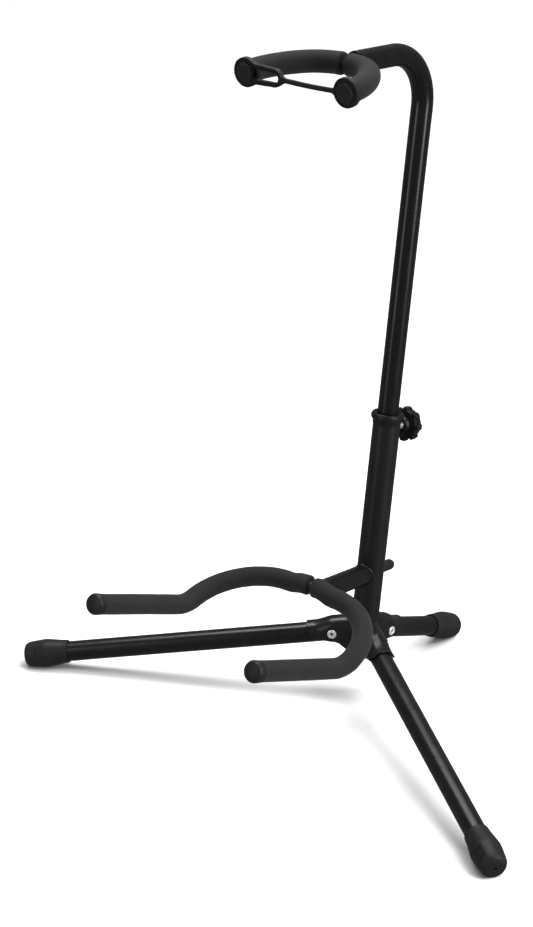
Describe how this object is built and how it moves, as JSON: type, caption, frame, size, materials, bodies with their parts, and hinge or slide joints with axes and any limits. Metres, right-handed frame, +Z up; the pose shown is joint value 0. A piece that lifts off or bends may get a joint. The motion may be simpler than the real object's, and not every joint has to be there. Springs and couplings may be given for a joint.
{
  "type": "guitar stand",
  "caption": "Folding tubular guitar stand: tripod legs on a pressed hub, a leaning telescopic mast, a foam-covered cradle for the body and a yoke with a rubber strap for the neck.",
  "frame": {"origin": "on the floor under the centre of the stand's bounding box", "axes": "+Z up, -Y towards the front where the guitar stands, +Y to the rear leg; +X is towards the strap's fixed ring"},
  "size_m": [0.552, 0.4078, 0.6058],
  "materials": {
    "mast_satin": "satin black powder coat",
    "mast_gloss": "semi-gloss black paint",
    "hub_paint": "semi-gloss black over pressed steel",
    "rod_black": "black coated steel rod",
    "rivet_metal": "bright plated",
    "zinc_steel": "zinc plated",
    "black_plastic": "moulded black",
    "foam": "closed-cell foam, matt charcoal",
    "soft_rubber": "moulded rubber, matt",
    "boot_rubber": "moulded rubber, satin"
  },
  "bodies": {
    "stand_base": {"lower_mast": "mast_satin", "mast_foot_plug": "black_plastic", "clamp_nut": "zinc_steel", "cradle_stub": "mast_satin", "cradle_stem": "mast_satin", "cradle_rod": "rod_black", "cradle_foam_right": "foam", "cradle_foam_left": "foam", "cradle_cap_right": "soft_rubber", "cradle_cap_left": "soft_rubber", "cradle_bolt": "rod_black", "bolt_cap": "soft_rubber", "tripod_hub": "hub_paint", "rivet_left": "rivet_metal", "rivet_right": "rivet_metal", "rivet_rear": "rivet_metal"},
    "mast_collar": {"mast_collar": "black_plastic"},
    "upper_mast": {"upper_mast": "mast_gloss", "guide_bush": "black_plastic", "neck_yoke_rod": "rod_black", "neck_stem": "rod_black", "neck_foam_right": "foam", "neck_foam_left": "foam", "neck_plug_right": "soft_rubber", "neck_plug_left": "soft_rubber", "neck_strap": "soft_rubber"},
    "clamp_screw": {"clamp_screw": "zinc_steel"},
    "clamp_knob": {"clamp_knob": "black_plastic"},
    "leg_left": {"leg_left": "mast_gloss", "boot_left": "boot_rubber"},
    "leg_right": {"leg_right": "mast_gloss", "boot_right": "boot_rubber"},
    "leg_rear": {"leg_rear": "mast_gloss", "boot_rear": "boot_rubber"}
  },
  "joints": [
    {"name": "mast_swivel", "type": "hinge", "parent": "stand_base", "child": "mast_collar", "pos_m": [0, 0.08656, 0.26609], "axis": [0, 0.1366, 0.9906], "continuous": true},
    {"name": "mast_height", "type": "slide", "parent": "mast_collar", "child": "upper_mast", "axis": [0, 0.1366, 0.9906], "range_m": [-0.022, 0.085]},
    {"name": "screw_travel", "type": "slide", "parent": "stand_base", "child": "clamp_screw", "axis": [0, 0.9906, -0.1366], "range_m": [0, 0.0021]},
    {"name": "knob_turn", "type": "hinge", "parent": "clamp_screw", "child": "clamp_knob", "pos_m": [0, 0.11464, 0.2501], "axis": [0, 0.9906, -0.1366], "range_deg": [0, 720]},
    {"name": "fold_left", "type": "hinge", "parent": "stand_base", "child": "leg_left", "pos_m": [-0.02404, 0.04344, 0.06083], "axis": [0.5358, -0.8443, 0], "range_deg": [0, 80]},
    {"name": "fold_right", "type": "hinge", "parent": "stand_base", "child": "leg_right", "pos_m": [0.02404, 0.04344, 0.06083], "axis": [0.5358, 0.8443, 0], "range_deg": [0, 80]},
    {"name": "fold_rear", "type": "hinge", "parent": "stand_base", "child": "leg_rear", "pos_m": [0, 0.08535, 0.05363], "axis": [-1, 0, 0], "range_deg": [0, 68]}
  ],
  "couplings": [
    {"joint": "screw_travel", "follows": "knob_turn", "m_per_rad": 0.00015915}
  ]
}
